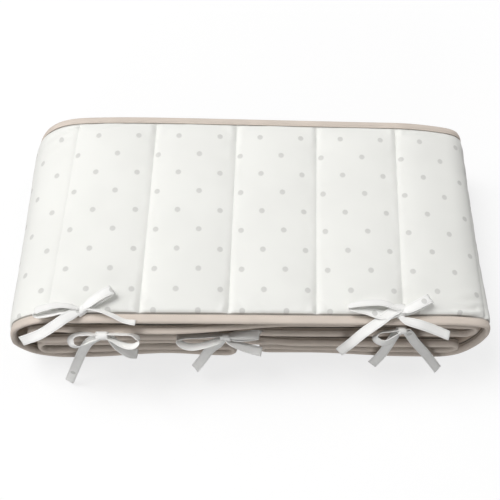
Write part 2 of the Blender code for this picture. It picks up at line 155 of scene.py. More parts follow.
# How finely the cloth is built.
FINE_COLUMNS = 28           # in each channel of the stretch that shows from outside
COARSE_COLUMNS = 8          # in each channel that lies inside the pile
ROWS = 60                   # across the strip
LIP_ROWS = (-0.3, 0.0, 0.4, 0.9, 1.6, 2.6, 4.0)     # and more of them, in millimetres from the lip
ROW_CLEAR = 0.7 * MM        # which no other row comes nearer to than this
TURN_STEP = math.radians(12)
DENSER_AT_ENDS = 0.55       # 0 spreads rows evenly, towards 1 crowds them at the ends
RING_RADIUS = 3             # of the plain ring that a closed band starts from

# The simulated panel of quilting, whose puff and puckers are laid over the whole strip.
PANEL_CHANNELS = 4
PANEL_STEP = 0.0042
PANEL_FRAMES = 36
PANEL_LIFT = 0.0002         # how high the flat cloth starts, so that it blows up and not down
PANEL_WAVES = ((211, 37), (-23, 157))
SAME_PLACE = 0.0001
CLOTH_EXCESS = 0.013        # how much more cloth there is than the seams would need
MID_RIPPLE = 0.30           # how much of the ripples stays in the middle of a channel
RIPPLE_REACH = 0.014        # how far from a seam its own ripples reach
CROWN_SQUARE = 0.62         # 1 keeps round crowns, less makes them flatter with steeper sides
CROWN_LIMIT = 1.2           # the highest that a ripple goes, as a share of the common crown

# The binding's section: how far in from the strip's edge, and how high above its half thickness.
# The lip and the sewn groove are given from the binding's inner edge.
BAND_LIP = ((-0.0002, -BAND_WALL), (0.0, -0.5 * BAND_WALL), (-0.0003, 0.0),
            (-0.0011, 0.0001), (-0.0017, -0.0004), (-0.0024, 0.0001))
BAND_FOLD = ((0.0058, 0.0004), (0.0038, 0.0002), (0.0022, -0.0004), (0.0010, -0.0012), (0.0003, -0.0022))
BAND_INNER_END = PAD_EDGE_INSET - 0.0004
BAND_CORNER = 1.4 * BAND_WIDTH      # no column of the long edges comes nearer to a corner
END_STOPS = 24
END_REACH = 0.85

# The tapes of the bows.
TAPE_WIDTH = 0.0115
TAPE_HALF = 0.00055
TAPE_STEP = 0.0016
TAPE_CURVE_STEPS = 24
FEWEST_ROWS = 8
# Its section: places across it, and how thick it is there.
TAPE_SECTION = ((-1.0, 0.25), (-0.95, 0.8), (-0.78, 1.0), (-0.5, 0.9), (0.0, 0.8),
                (0.5, 0.9), (0.78, 1.0), (0.95, 0.8), (1.0, 0.25))
GATHERED = 0.45             # its share of its width in the knot
GATHER_RUN = 0.011          # and it has its full width this far from it
GATHER_CURVE = 0.8
CUP = 0.0005                # how much it cups, one way and the other along its length
CUP_WAVE = 0.021
CUP_BY_KNOT = 0.0022        # and where it is gathered
CUP_MIDDLE = 0.4
HEM_LENGTH = 0.006
HEM_HALF = 0.0008
NO_DOT = 500                # a dot this far along lies off the tape

# A knot's section, round from its middle and back inside: places along its axis, and its radius.
KNOT_SECTION = ((0.0, 0.5), (0.6, 0.52), (0.9, 0.6), (1.0, 0.74), (0.97, 0.9), (0.85, 0.98),
                (0.5, 1.0), (0.0, 1.03), (-0.5, 1.0), (-0.85, 0.98), (-0.97, 0.9), (-1.0, 0.74),
                (-0.9, 0.6), (-0.6, 0.52))
KNOT_COLUMNS = 40
KNOT_TAPE = 0.03            # length of tape in a knot
KNOT_DOT_CLEAR = 0.013      # keeps the printed dot off a knot
KNOT_CLOTH_HALF = 0.0045

# The bows.  A strand is a tail or a loop.  A station is a place, in millimetres from the knot, and
# the way that the tape's width runs there.  A dot is printed that many millimetres from the start.
Strand = namedtuple("Strand", "kind dot stations")
Bow = namedtuple("Bow", "name knot axis size strands")
BOWS = (
    Bow("tie_1", (-0.1915, -0.1225, 0.1275), (0.75, 0.55, 0.2), (6.5, 5.0, 4.2), (
        Strand("loop", NO_DOT, (
            (-2, 1, 3, 0, -0.7, 0.7), (-16, 4, 6, 0.1, -0.7, 0.7), (-30, 4, 6, 0.1, -0.8, 0.6),
            (-44, 1, 5, 0, -0.9, 0.4), (-51, -2, 3, 0, -0.9, 0.4), (-48, -5, 1, 0, -0.9, 0.4),
            (-36, -4, 0, 0.1, -0.8, 0.6), (-19, -1, 1, 0.1, -0.7, 0.7), (-2, -1, 1, 0, -0.7, 0.7))),
        Strand("loop", 40, (
            (2, 1, 1, 0.4, -0.8, 0.2), (12, 8, 3, 0.4, -0.85, 0.2), (24, 15, 7, 0.45, -0.85, 0.1),
            (34, 21, 11, 0.5, -0.8, -0.1), (24, 16, 13, 0.45, -0.85, 0.1),
            (12, 9, 9, 0.4, -0.85, 0.2), (1, 1, 4, 0.4, -0.8, 0.2))),
        Strand("tail", 3, (
            (0, 0, 3, 0.6, -0.7, -0.2), (-15, -9, 5, 0.6, -0.7, -0.3),
            (-29, -18, 1, 0.6, -0.75, -0.25), (-46, -25, -9, 0.45, -0.75, -0.2),
            (-68, -28, -24, 0.8, -0.5, -0.2))),
        Strand("tail", NO_DOT, (
            (1, 0, 2, 0, -0.6, 0.8), (9, 2, 3, 0, -0.6, 0.8), (22, -1, 3, 0, -0.6, 0.8),
            (33, -5, 2, 0, -0.65, 0.75), (47, -11, 0, 0, -0.7, 0.7), (60, -13, -1, 0, -0.8, 0.6))),
    )),
    Bow("tie_2", (-0.170, -0.1452, 0.1075), (1, 0, 0), (8.0, 4.8, 4.3), (
        Strand("loop", NO_DOT, (
            (0, 1, 1, 0, -0.5, 0.85), (-6, 1, 1, 0, -0.5, 0.85), (-17, 2, 1, 0.1, -0.6, 0.8),
            (-29, 1, 1, 0.2, -0.6, 0.75), (-35, -4, -1, 0.7, -0.3, 0.65),
            (-33, -10, -3, 0.7, -0.2, 0.7), (-26, -12, -4, 0.4, -0.1, 0.9),
            (-15, -7, -3, 0.2, -0.4, 0.85), (0, -1, -1, 0, -0.5, 0.85))),
        Strand("loop", NO_DOT, (
            (0, 1, 1, 0, -0.4, 0.9), (7, 2, 1, 0, -0.5, 0.85), (21, 2, 1, 0, -0.6, 0.8),
            (34, 1, 1, 0, -0.6, 0.8), (41, -5, -1, 0, -0.85, 0.5), (36, -11, -3, -0.1, -0.8, 0.6),
            (25, -10, -4, -0.2, -0.7, 0.6), (12, -4, -3, -0.2, -0.6, 0.75),
            (0, -1, -1, 0, -0.5, 0.85))),
        Strand("tail", 96, (
            (0, -1, -1, 0.9, -0.2, -0.3), (-12, -4, -4, 0.85, -0.2, -0.3),
            (-22, -10, -19, 0.9, -0.1, -0.15), (-33, -16, -52, 0.9, -0.1, -0.15),
            (-49, -27, -101, 0.8, -0.5, -0.3))),
        Strand("tail", 8, (
            (0, -1, -1, -0.4, -0.6, 0.4), (8, -1, -3, -0.5, -0.6, 0.5),
            (18, -9, -12, -0.6, -0.6, 0.4), (29, -13, -24, -0.5, -0.8, 0.2),
            (38, -12, -32, -0.5, -0.8, 0))),
    )),
    Bow("tie_3", (-0.030, -0.1396, 0.0844), (1, -0.1, 0.1), (7.5, 4.9, 4.7), (
        Strand("loop", NO_DOT, (
            (-1, 1, 2, 0, -0.7, 0.7), (-10, 2, 3, 0, -0.7, 0.7), (-30, 1, 4, 0, -0.8, 0.6),
            (-48, 0, 4, 0, -0.8, 0.6), (-56, -3, 2, 0, -0.9, 0.4), (-50, -9, -1, 0, -0.9, 0.4),
            (-39, -11, -3, 0, -0.85, 0.45), (-25, -9, -2, 0, -0.85, 0.5), (-11, -5, 0, 0.2, -0.8, 0.5),
            (0, -1, 1, 0.1, -0.8, 0.6))),
        Strand("loop", NO_DOT, (
            (0, 0, 1, -0.1, -0.9, 0.4), (8, 0, 0, -0.2, -0.9, 0.3), (23, 0, 1, -0.2, -1, 0.1),
            (40, 2, 4, -0.5, -0.85, 0), (24, 1, 6, -0.2, -1, 0.1), (9, 1, 5, -0.2, -0.9, 0.3),
            (0, 0, 2, -0.1, -0.9, 0.4))),
        Strand("tail", NO_DOT, (
            (0, -2, 1, 0.7, -0.6, 0.1), (-4, -4, -1, 0.7, -0.6, 0), (-17, -10, -14, 0.8, -0.55, -0.1),
            (-26, -17, -32, 0.85, -0.4, -0.1), (-35, -23, -54, 0.6, -0.8, -0.2))),
        Strand("tail", NO_DOT, (
            (0, -2, 0, -0.2, -0.6, 0.7), (5, -7, -1, -0.2, -0.6, 0.7), (15, -9, -4, -0.2, -0.9, 0.3),
            (28, -11, -10, -0.2, -1, 0), (43, -13, -16, -0.3, -0.95, -0.1))),
    )),
    Bow("tie_4", (0.167, -0.1245, 0.1290), (0.8, 0.5, 0.2), (6.0, 4.6, 4.4), (
        Strand("loop", 28, (
            (-2, -2, 2, -0.4, -0.8, 0.2), (-22, -3, 3, -0.5, -0.8, 0.1), (-39, 2, 4, -0.4, -0.85, 0.2),
            (-60, 6, 5, -0.2, -0.7, 0.6), (-40, 9, 9, -0.1, -0.8, 0.5), (-20, 9, 9, 0, -0.8, 0.5),
            (0, 3, 5, 0, -0.8, 0.4))),
        Strand("loop", 46, (
            (2, 0, 0, 0.2, -0.9, 0.3), (9, 2, 1, 0.25, -0.9, 0.2), (20, 7, 5, 0.35, -0.9, 0.1),
            (34, 15, 10, 0.5, -0.8, -0.1), (21, 8, 11, 0.35, -0.9, 0.1), (9, 3, 7, 0.25, -0.9, 0.2),
            (1, 1, 4, 0.2, -0.9, 0.3))),
        Strand("tail", NO_DOT, (
            (6, 7, 5, 0.5, -0.8, -0.1), (-8, 1, 6, 0.5, -0.8, -0.1), (-24, -10, 1, 0.6, -0.8, -0.1),
            (-40, -19, -11, 0.5, -0.85, -0.2), (-51, -25, -31, 0.5, -0.8, -0.1),
            (-61, -28, -61, 0.75, -0.65, 0))),
        Strand("tail", NO_DOT, (
            (0, -2, 1, -0.4, -0.8, 0.2), (5, -9, 2, -0.4, -0.8, 0.3), (21, -13, 0, -0.35, -0.9, 0),
            (38, -16, -7, -0.3, -0.9, -0.1), (60, -21, -17, -0.25, -0.9, -0.1))),
    )),
    Bow("tie_5", (0.172, -0.1392, 0.1115), (1, 0, 0), (6.5, 4.2, 4.2), (
        Strand("loop", NO_DOT, (
            (0, 0, 1, 0, -0.5, 0.85), (-12, -1, 1, -0.1, -0.5, 0.85), (-25, -3, 1, -0.1, -0.4, 0.85),
            (-31, -8, -1, 0.4, 0, 0.9), (-26, -13, -4, 0.2, 0.2, 0.95), (-18, -14, -4, 0, 0.3, 0.95),
            (-8, -9, -3, -0.2, 0.3, 0.9), (0, -1, 0, -0.1, -0.2, 0.9))),
        Strand("loop", NO_DOT, (
            (0, 0, 1, 0, -0.5, 0.85), (5, 1, 1, 0, -0.3, 0.95), (8, 1, 1, 0, -0.3, 0.95),
            (10, 0, 1, 0, -0.3, 0.95), (7, -2, 0, 0, -0.3, 0.95), (0, -1, 0, 0, -0.5, 0.85))),
        Strand("tail", NO_DOT, (
            (0, -1, -1, 0.9, -0.1, 0.2), (-6, -3, -5, 0.9, -0.1, 0.1), (-10, -9, -26, 0.9, -0.2, 0),
            (-12, -12, -61, 0.9, -0.4, 0), (-15, -13, -100, 0.8, -0.6, 0))),
        Strand("tail", 14, (
            (0, -1, -1, 0.9, 0, 0.2), (8, -1, -4, 0.9, 0.1, 0.2), (22, -5, -28, 0.9, 0.3, 0.3),
            (43, -10, -61, 0.75, 0.5, 0.35), (69, -19, -102, 0.6, 0.7, 0.4))),
    )),
)

# The printed dots: a staggered lattice in the strip's own length and width.
DOT_PITCH = 0.025
DOT_RADIUS = 0.0034
FIRST_DOT = (0.0046, -0.1215)
DOT_BLUR = (0.0009, 0.0007)         # the print fades from this far inside its edge to this far outside
DOT_RAGGED = 0.0009
TAPE_DOT_BLUR = (0.0005, 0.0003)

# Sewing and cloth, and the painted shade at the binding's lips, as they show in the finishes.
STITCH = 0.0030
TAPE_STITCH = 0.0024
STITCH_SHARE = 0.36                 # of a stitch's length on either side of its middle
BAND_SEWN = BAND_WIDTH - 0.0017     # the sewn line, from the strip's edge
TAPE_SEWN = 0.0043                  # and from the middle of a tape
THREAD_BUMP = 0.0003
WEAVE_PITCH = 0.0007
TAPE_WEAVE_PITCH = 0.0006
WEAVE_BUMP = 0.00012
GROOVE_SHADE_FRONT, GROOVE_SHADE_BACK = 0.8, 0.25       # how dark the painted shade in the lip's groove is, at the front edge and at the back edge
# The colour of the painted shade at the lips, as a share of the beige.
GROOVE_SHADE = 0.45

# The camera, from the photograph: its place beside the strip, and how it is turned.
CAMERA_PLACE = (-0.060, -0.4085, 0.9714)
CAMERA_PITCH, CAMERA_YAW, CAMERA_ROLL = math.radians(66.552), math.radians(-9.04), math.radians(8.826)
CAMERA_LENS = 56.82
SENSOR_WIDTH = 36.0

# The studio.  The lamps' powers are shares of the key light's, and the light from below the horizon
# is a share of the sky's.
LAMPS = (
    # name, place, width, power
    ("key_light", (-2.2, 1.3, 4.6), 2.2, 1.0),
    ("left_light", (-3.5, 0.6, 2.6), 2.2, 0.28),
    ("right_light", (3.2, 0.8, 1.8), 2.5, 0.235),
    ("front_light", (-0.8, -3.2, 0.6), 2.2, 0.30),
)
BELOW_SHARE = 0.25
HORIZON = (-0.15, 0.1)
PALE_WALL = 0.93
FLOOR_COLOUR = (0.25, 0.25, 0.25, 1.0)
FLOOR_ROUGHNESS = 0.9
FLOOR_GLOW = 0.74
WHITE = (1.0, 1.0, 1.0, 1.0)


# ---------------------------------------------------------------- the folded strip

class Strip:
    """Places points of the flat strip, by length and width, on the folded one."""

    def __init__(self, bends):
        rows = [sample_bend(start, end) for start, end in zip(bends, bends[1:])]
        last = bends[-1]
        table = np.concatenate([*rows, [[last.x, last.z, last.shift, last.fill, last.lean]]])
        self.path, self.shift, self.filling, self.lean = table[:, :2], *table[:, 2:].T
        steps = np.linalg.norm(np.diff(self.path, axis=0), axis=1)
        self.lengths = np.concatenate(([0.0], np.cumsum(steps)))
        ahead = np.gradient(self.path, self.lengths, axis=0)
        ahead /= np.linalg.norm(ahead, axis=1)[:, None]
        self.up = np.stack((-ahead[:, 1], ahead[:, 0]), axis=1)
        self.turned = np.unwrap(np.arctan2(ahead[:, 1], ahead[:, 0]))
        self.start = (self.length_on_top(TOP_SEAM_X) - FIRST_SEAM) % CHANNEL_PITCH

    def length_on_top(self, x):
        """The length along the centre line at which the top layer passes x."""
        top = np.flatnonzero(self.path[:, 1] > LEVEL_6 - MM)
        return float(np.interp(-x, -self.path[top, 0], self.lengths[top]))

    def read(self, along, values):
        """What a column of the table says at a length along the strip."""
        return np.interp(self.start + along, self.lengths, values)

    def slanted(self, along, across):
        """Lengths at which the lines of seams pass a width, from their lengths in the middle."""
        share = np.clip(np.minimum(along, STRIP_LENGTH - along) / SLANT_RUN, 0, 1)
        return along - SEAM_SLANT * across * share

    def place(self, along, across, lift):
        """Points at a length, a width from the middle, and a height above the centre line."""
        along = self.slanted(along, across)
        lift = lift - self.read(along, self.lean) * (0.5 - across / (2 * HALF_WIDTH)) ** LEAN_CURVE
        x = self.read(along, self.path[:, 0]) + self.read(along, self.up[:, 0]) * lift
        z = self.read(along, self.path[:, 1]) + self.read(along, self.up[:, 1]) * lift
        y = across + self.read(along, self.shift)
        far_left = np.clip((NARROWS_FROM - x) / NARROWS_OVER, 0, 1)
        at_back = np.clip(0.5 + across / (2 * HALF_WIDTH), 0, 1)
        x = x + END_NARROWING * far_left ** NARROWING_CURVE * at_back ** 2
        return np.stack((x, y, z), axis=-1) + ORIGIN

    def shows(self, along):
        """Whether a length lies on the stretch that is seen from outside."""
        first = self.lengths[(len(INSIDE) + 1) * BEND_SAMPLES]
        last = self.lengths[(len(INSIDE) + len(OUTSIDE) - HIDDEN_BENDS) * BEND_SAMPLES]
        return first < self.start + along < last

    def columns(self):
        """Lengths from one end of the strip to the other, closer together where it shows or bends."""
        first, last = PAD_EDGE_INSET, STRIP_LENGTH - PAD_EDGE_INSET
        result = [first]
        for channel in range(-1, math.ceil(STRIP_LENGTH / CHANNEL_PITCH)):
            middle = FIRST_SEAM + (channel + 0.5) * CHANNEL_PITCH
            count = FINE_COLUMNS if self.shows(middle) else COARSE_COLUMNS
            for share in spread(count)[1:]:
                target = FIRST_SEAM + (channel + share) * CHANNEL_PITCH
                if first + MM < target < last - MM:
                    result += self.steps(result[-1], target)
        return np.array([*result, last])

    def steps(self, first, last):
        """Lengths after the first and up to the last, more of them where the strip turns."""
        reach = SEAM_SLANT * HALF_WIDTH
        turn = abs(self.read(last + reach, self.turned) - self.read(first - reach, self.turned))
        count = max(1, math.ceil(turn / TURN_STEP))
        return [first + (last - first) * step / count for step in range(1, count + 1)]


def sample_bend(start, end):
    """Rows of the table along one bend: a cubic whose handles make a quarter or half turn round."""
    first, last = np.array((start.x, start.z)), np.array((end.x, end.z))
    turn = abs((end.heading - start.heading + 180) % 360 - 180)
    handle = np.linalg.norm(last - first) / (3 * math.cos(math.radians(turn) / 4) ** 2)
    near = first + handle * heading_vector(start.heading)
    far = last - handle * heading_vector(end.heading)
    t = (np.arange(BEND_SAMPLES) / BEND_SAMPLES)[:, None]
    path = cubic((first, near, far, last), t)
    eased = t * t * (3 - 2 * t)
    shift = start.shift + (end.shift - start.shift) * eased
    fill = start.fill + (end.fill - start.fill) * eased
    lean = start.lean + (end.lean - start.lean) * eased
    return np.hstack((path, shift, fill, lean))


def heading_vector(degrees):
    """The way ahead in the section, as x and z."""
    return np.array((math.cos(math.radians(degrees)), math.sin(math.radians(degrees))))


def cubic(controls, t):
    """Points on a cubic curve."""
    a, b, c, d = controls
    s = 1 - t
    return a * s ** 3 + b * 3 * s * s * t + c * 3 * s * t * t + d * t ** 3


def spread(count):
    """Shares from 0 to 1, closer together at both ends."""
    even = np.arange(count + 1) / count
    return even - DENSER_AT_ENDS * np.sin(2 * np.pi * even) / (2 * np.pi)


# ---------------------------------------------------------------- meshes

def grid_slab(columns, rows):
    """A closed flat slab, and the column, row and side of each of its points."""
    work = bmesh.new()
    bmesh.ops.create_grid(work, x_segments=columns - 1, y_segments=rows - 1, size=1.0)
    lower = set(work.verts)
    bmesh.ops.extrude_face_region(work, geom=work.faces[:], use_keep_orig=True)
    for vert in work.verts:
        vert.co.z = -1.0 if vert in lower else 1.0
    bmesh.ops.recalc_face_normals(work, faces=work.faces[:])
    places = np.array([vert.co for vert in work.verts])
    column = np.rint((places[:, 0] + 1) / 2 * (columns - 1)).astype(int)
    row = np.rint((places[:, 1] + 1) / 2 * (rows - 1)).astype(int)
    return work, column, row, places[:, 2]


def grid_ring(columns, rows):
    """A closed ring, and the column and row of each of its points.  Its faces look outwards."""
    work = bmesh.new()
    bmesh.ops.create_grid(work, x_segments=columns, y_segments=rows, size=1.0)
    for vert in work.verts:
        angle = math.pi * vert.co.x
        radius = RING_RADIUS + math.cos(math.pi * vert.co.y)
        height = math.sin(math.pi * vert.co.y)
        vert.co = (radius * math.cos(angle), radius * math.sin(angle), height)
    bmesh.ops.remove_doubles(work, verts=work.verts[:], dist=1e-5)
    bmesh.ops.recalc_face_normals(work, faces=work.faces[:])
    places = np.array([vert.co for vert in work.verts])
    radius = np.hypot(places[:, 0], places[:, 1])
    turn = np.arctan2(places[:, 1], places[:, 0]) / (2 * np.pi) + 0.5
    lean = 0.5 - np.arctan2(places[:, 2], radius - RING_RADIUS) / (2 * np.pi)
    column = np.rint(turn * columns).astype(int) % columns
    row = np.rint(lean * rows).astype(int) % rows
    return work, column, row


def add_piece(name, parts, finish):
    """One object from closed forms, each with its places and its cloth's own coordinates."""
    mesh = bpy.data.meshes.new(name)
    joined = bmesh.new()
    for work, _, _ in parts:
        one = bpy.data.meshes.new(name + "_part")
        work.to_mesh(one)
        work.free()
        joined.from_mesh(one)
        bpy.data.meshes.remove(one)
    joined.to_mesh(mesh)
    joined.free()
    places = np.concatenate([places for _, places, _ in parts])
    cloth = np.concatenate([cloth for _, _, cloth in parts])
    mesh.vertices.foreach_set("co", places.astype(np.float32).ravel())
    attribute = mesh.attributes.new("cloth", "FLOAT_VECTOR", "POINT")
    attribute.data.foreach_set("vector", cloth.astype(np.float32).ravel())
    mesh.materials.append(finish)
    mesh.shade_smooth()
    mesh.update()
    piece = bpy.data.objects.new(name, mesh)
    bpy.context.scene.collection.objects.link(piece)
    return piece


# ---------------------------------------------------------------- the quilted pad

def blown_up_panel():
    """A panel of a few channels between sewn seams, puffed up by a cloth simulation."""
    size = (PANEL_CHANNELS * CHANNEL_PITCH, 2 * (HALF_WIDTH - BAND_WIDTH))
    counts = [round(length / PANEL_STEP / PANEL_CHANNELS) * PANEL_CHANNELS for length in size]
    work = bmesh.new()
    bmesh.ops.create_grid(work, x_segments=counts[0], y_segments=counts[1], size=0.5)
    seams = []
    for vert in work.verts:
        u, v = vert.co.x + 0.5, vert.co.y + 0.5
        channel = u * PANEL_CHANNELS
        on_seam = abs(channel - round(channel)) < SAME_PLACE
        if on_seam or min(v, 1 - v) < SAME_PLACE:
            seams.append(vert.index)
        ripple = math.prod(math.sin(by_u * u + by_v * v) for by_u, by_v in PANEL_WAVES)
        vert.co = (u * size[0], v * size[1], 0.0 if on_seam else PANEL_LIFT * (1.5 + ripple))
    work.verts.index_update()
    mesh = bpy.data.meshes.new("panel")
    work.to_mesh(mesh)
    work.free()
    flat = np.array([vert.co for vert in mesh.vertices])
    panel = bpy.data.objects.new("panel", mesh)
    bpy.context.scene.collection.objects.link(panel)
    panel.vertex_groups.new(name="seams").add(seams, 1.0, "REPLACE")
    settings = panel.modifiers.new("Cloth", "CLOTH").settings
    settings.vertex_group_mass = "seams"
    settings.quality = 8
    settings.mass = 0.15
    settings.tension_stiffness = settings.compression_stiffness = 40
    settings.bending_stiffness = 0.05
    settings.shrink_min = -CLOTH_EXCESS
    settings.use_pressure = True
    settings.uniform_pressure_force = 3.0
    settings.effector_weights.gravity = 0.0
    scene = bpy.context.scene
    for number in range(1, PANEL_FRAMES + 1):
        scene.frame_set(number)
    graph = bpy.context.evaluated_depsgraph_get()
    result = panel.evaluated_get(graph).to_mesh()
    moved = np.array([vert.co for vert in result.vertices]) - flat
    scene.frame_set(1)
    bpy.data.objects.remove(panel)
    cells = np.rint(flat[:, :2] / (np.array(size) / counts)).astype(int)
    table = np.zeros((counts[0] + 1, counts[1] + 1, 3))
    table[cells[:, 0], cells[:, 1]] = moved
    return evened(table)


def evened(table):
    """The panel with full, even crowns, whose ripples stay near the seams alone."""
    count = (table.shape[0] - 1) // PANEL_CHANNELS
    crowns = table[:-1].reshape(PANEL_CHANNELS, count, table.shape[1], 3)
    common = crowns.mean(axis=0)
    common[:, :, 2] = (common[:, :, 2] + common[:, ::-1, 2]) / 2
    share = np.arange(count) / count
    to_seam = np.minimum(share, 1 - share) * CHANNEL_PITCH
    kept = MID_RIPPLE + (1 - MID_RIPPLE) * np.exp(-(to_seam / RIPPLE_REACH) ** 2)
    crowns = common + (crowns - common) * kept[None, :, None, None]
    height = np.clip(crowns[:, :, :, 2] / common[:, :, 2].max(), 0, CROWN_LIMIT)
    crowns[:, :, :, 2] = CROWN_RISE * height ** CROWN_SQUARE
    result = crowns.reshape(PANEL_CHANNELS * count, table.shape[1], 3)
    return np.concatenate((result, result[:1]))


def puff_share(inside):
    """How much of its full height the filling has, this far in from the binding."""
    return 1 - (1 - np.clip(inside / PUFF_RUN, 0, 1)) ** PUFF_CURVE


def read_panel(table, along, across):
    """The panel's movement at places on the strip, repeated along it."""
    low = -HALF_WIDTH + BAND_WIDTH
    u = along / CHANNEL_PITCH % PANEL_CHANNELS / PANEL_CHANNELS * (table.shape[0] - 1)
    v = np.clip((across - low) / (-2 * low), 0, 1) * (table.shape[1] - 1)
    column = np.minimum(u.astype(int), table.shape[0] - 2)
    row = np.minimum(v.astype(int), table.shape[1] - 2)
    part_u, part_v = (u - column)[:, None], (v - row)[:, None]
    near = table[column, row] * (1 - part_v) + table[column, row + 1] * part_v
    far = table[column + 1, row] * (1 - part_v) + table[column + 1, row + 1] * part_v
    return near * (1 - part_u) + far * part_u


# Creases pressed into the top: where one starts and ends on the pile, its width and its depth.
CREASE_ENDS = 0.1           # share of the fade along a crease that is cut off at each end
Crease = namedtuple("Crease", "start end width depth")
CREASES = (
    Crease((0.232, -0.1260), (0.274, -0.1215), 0.0036, 0.0021),
    Crease((0.222, -0.1170), (0.262, -0.1140), 0.0034, 0.0016),
    Crease((0.236, -0.1080), (0.276, -0.1000), 0.0038, 0.0020),
    Crease((0.250, -0.1170), (0.279, -0.1080), 0.0034, 0.0017),
    Crease((0.226, -0.0940), (0.270, -0.0860), 0.0042, 0.0012),
    Crease((-0.003, -0.1230), (0.006, -0.1120), 0.0032, 0.0014),
    Crease((0.006, -0.1230), (0.016, -0.1100), 0.0032, 0.0016),
    Crease((0.014, -0.1230), (0.026, -0.1130), 0.0032, 0.0012),
    Crease((0.128, -0.1100), (0.140, -0.0960), 0.0034, 0.0009),
    Crease((-0.262, 0.1080), (-0.205, 0.1210), 0.0036, 0.0019),
    Crease((-0.255, 0.0920), (-0.215, 0.1120), 0.0036, 0.0015),
    Crease((-0.196, 0.1160), (-0.150, 0.1230), 0.0034, 0.0012),
    Crease((0.192, 0.1100), (0.250, 0.1180), 0.0034, 0.0012),
)


def crease_depth(places):
    """How far the creases press in at places on the top."""
    depth = np.zeros(len(places))
    for crease in CREASES:
        start, end = np.array(crease.start), np.array(crease.end)
        way = end - start
        share = np.clip((places[:, :2] - start) @ way / (way @ way), 0, 1)
        nearest = start + share[:, None] * way
        away = np.linalg.norm(places[:, :2] - nearest, axis=1)
        fade = np.sin(np.pi * np.clip(CREASE_ENDS + (1 - 2 * CREASE_ENDS) * share, 0, 1))
        wave = (1 - 2 * (away / crease.width) ** 2) * np.exp(-(away / crease.width) ** 2)
        depth += crease.depth * fade * wave
    return depth


def pad_widths():
    """Places across the pad, with more of them where it swells out of the band's lip."""
    even = (spread(ROWS) * 2 - 1) * (HALF_WIDTH - PAD_EDGE_INSET)
    near = [LIP_WIDTH - MM * step for step in LIP_ROWS]
    clear = np.array([width for width in even if min(abs(abs(width) - np.array(near))) > ROW_CLEAR])
    return np.sort(np.concatenate((clear, near, -np.array(near))))


def pad_parts(strip, panel):
    """The filled strip: puffed channels between sewn seams, thin where the band grips it."""
    lengths = strip.columns()
    widths = pad_widths()
    work, column, row, side = grid_slab(len(lengths), len(widths))
    along, across = lengths[column], widths[row]
    fill = strip.read(along, strip.filling)
    sewn = along - FIRST_SEAM
    puff = read_panel(panel, sewn + np.where(side > 0, CHANNEL_PITCH, 0.0), across)
    inside = np.minimum(along, STRIP_LENGTH - along) - BAND_WIDTH - LIP_CLEAR
    end_rise = puff_share(inside)
    from_lip = np.clip(LIP_WIDTH - np.abs(across), 0, 1)
    to_seam = np.abs((sewn / CHANNEL_PITCH + 0.5) % 1 - 0.5) * CHANNEL_PITCH
    pinch = np.exp(-(to_seam / NOTCH_REACH) ** 2)
    rounded = 1 - np.exp(-from_lip / LIP_ROUND)
    swell = rounded * (1 - pinch) + np.clip(from_lip / NOTCH_RUN, 0, 1) * pinch
    swell = swell * np.clip(inside / SWELL_RUN, 0, 1)
    near_lip = np.exp(-from_lip / PUFF_RUN)
    outer = (side < 0) & np.array([strip.shows(length) for length in lengths])[column]
    shown = LIP_BULGE * rounded * (1 - pinch) * near_lip
    bulge = np.where(outer, shown, -HIDDEN_DIP * rounded * near_lip)
    half = PAD_EDGE_HALF + (SEAM_HALF - PAD_EDGE_HALF) * swell + (puff[:, 2] + bulge) * fill * end_rise
    along = along + puff[:, 0] * fill * end_rise
    places = strip.place(along, across + puff[:, 1] * end_rise, side * half)
    on_top = (side < 0) & (places[:, 2] > LEVEL_6 - TOP_REACH)
    places[on_top, 2] -= crease_depth(places[on_top] - ORIGIN)
    places[:, 2] = np.maximum(places[:, 2], 0.0)
    cloth = np.stack((strip.slanted(lengths[column], widths[row]), widths[row], side), axis=1)
    return [(work, places, cloth)]


# ---------------------------------------------------------------- the bound edge

def band_profile():
    """The band's section, round from one lip to the other and back inside."""
    outer = [*((BAND_WIDTH + inwards, BAND_HALF + high) for inwards, high in BAND_LIP),
             *((inwards, BAND_HALF + high) for inwards, high in BAND_FOLD)]
    back = [(BAND_INNER_END, BAND_WALL - BAND_HALF), (BAND_INNER_END, BAND_HALF - BAND_WALL)]
    lower = [(inwards, -high) for inwards, high in reversed(outer)]
    return np.array([*outer, (0.0, 0.0), *lower, *back])


def band_parts(strip):
    """The folded band that grips the pad's edge all the way round."""
    lengths = strip.columns()
    lengths = lengths[(lengths > BAND_CORNER) & (lengths < STRIP_LENGTH - BAND_CORNER)]
    widths = np.linspace(-END_REACH, END_REACH, END_STOPS) * HALF_WIDTH
    # Every stop is a place on the outline and the way in from it.
    stops = [(0.0, -HALF_WIDTH, 1, 1),
             *((length, -HALF_WIDTH, 0, 1) for length in lengths),
             (STRIP_LENGTH, -HALF_WIDTH, -1, 1),
             *((STRIP_LENGTH, width, -1, 0) for width in widths),
             (STRIP_LENGTH, HALF_WIDTH, -1, -1),
             *((length, HALF_WIDTH, 0, -1) for length in lengths[::-1]),
             (0.0, HALF_WIDTH, 1, -1),
             *((0.0, width, 1, 0) for width in widths[::-1])]
    stops = np.array(stops)
    gone = np.linalg.norm(np.diff(stops[:, :2], axis=0), axis=1)
    gone = np.concatenate(([0.0], np.cumsum(gone)))
    profile = band_profile()
    work, column, row = grid_ring(len(stops), len(profile))
    distance, height = profile[row, 0], profile[row, 1]
    along = stops[column, 0] + stops[column, 2] * distance
    across = stops[column, 1] + stops[column, 3] * distance
    places = strip.place(along, across, height)
    cloth = np.stack((gone[column], distance, np.sign(height)), axis=1)
    return [(work, places, cloth)]


# ---------------------------------------------------------------- the ties

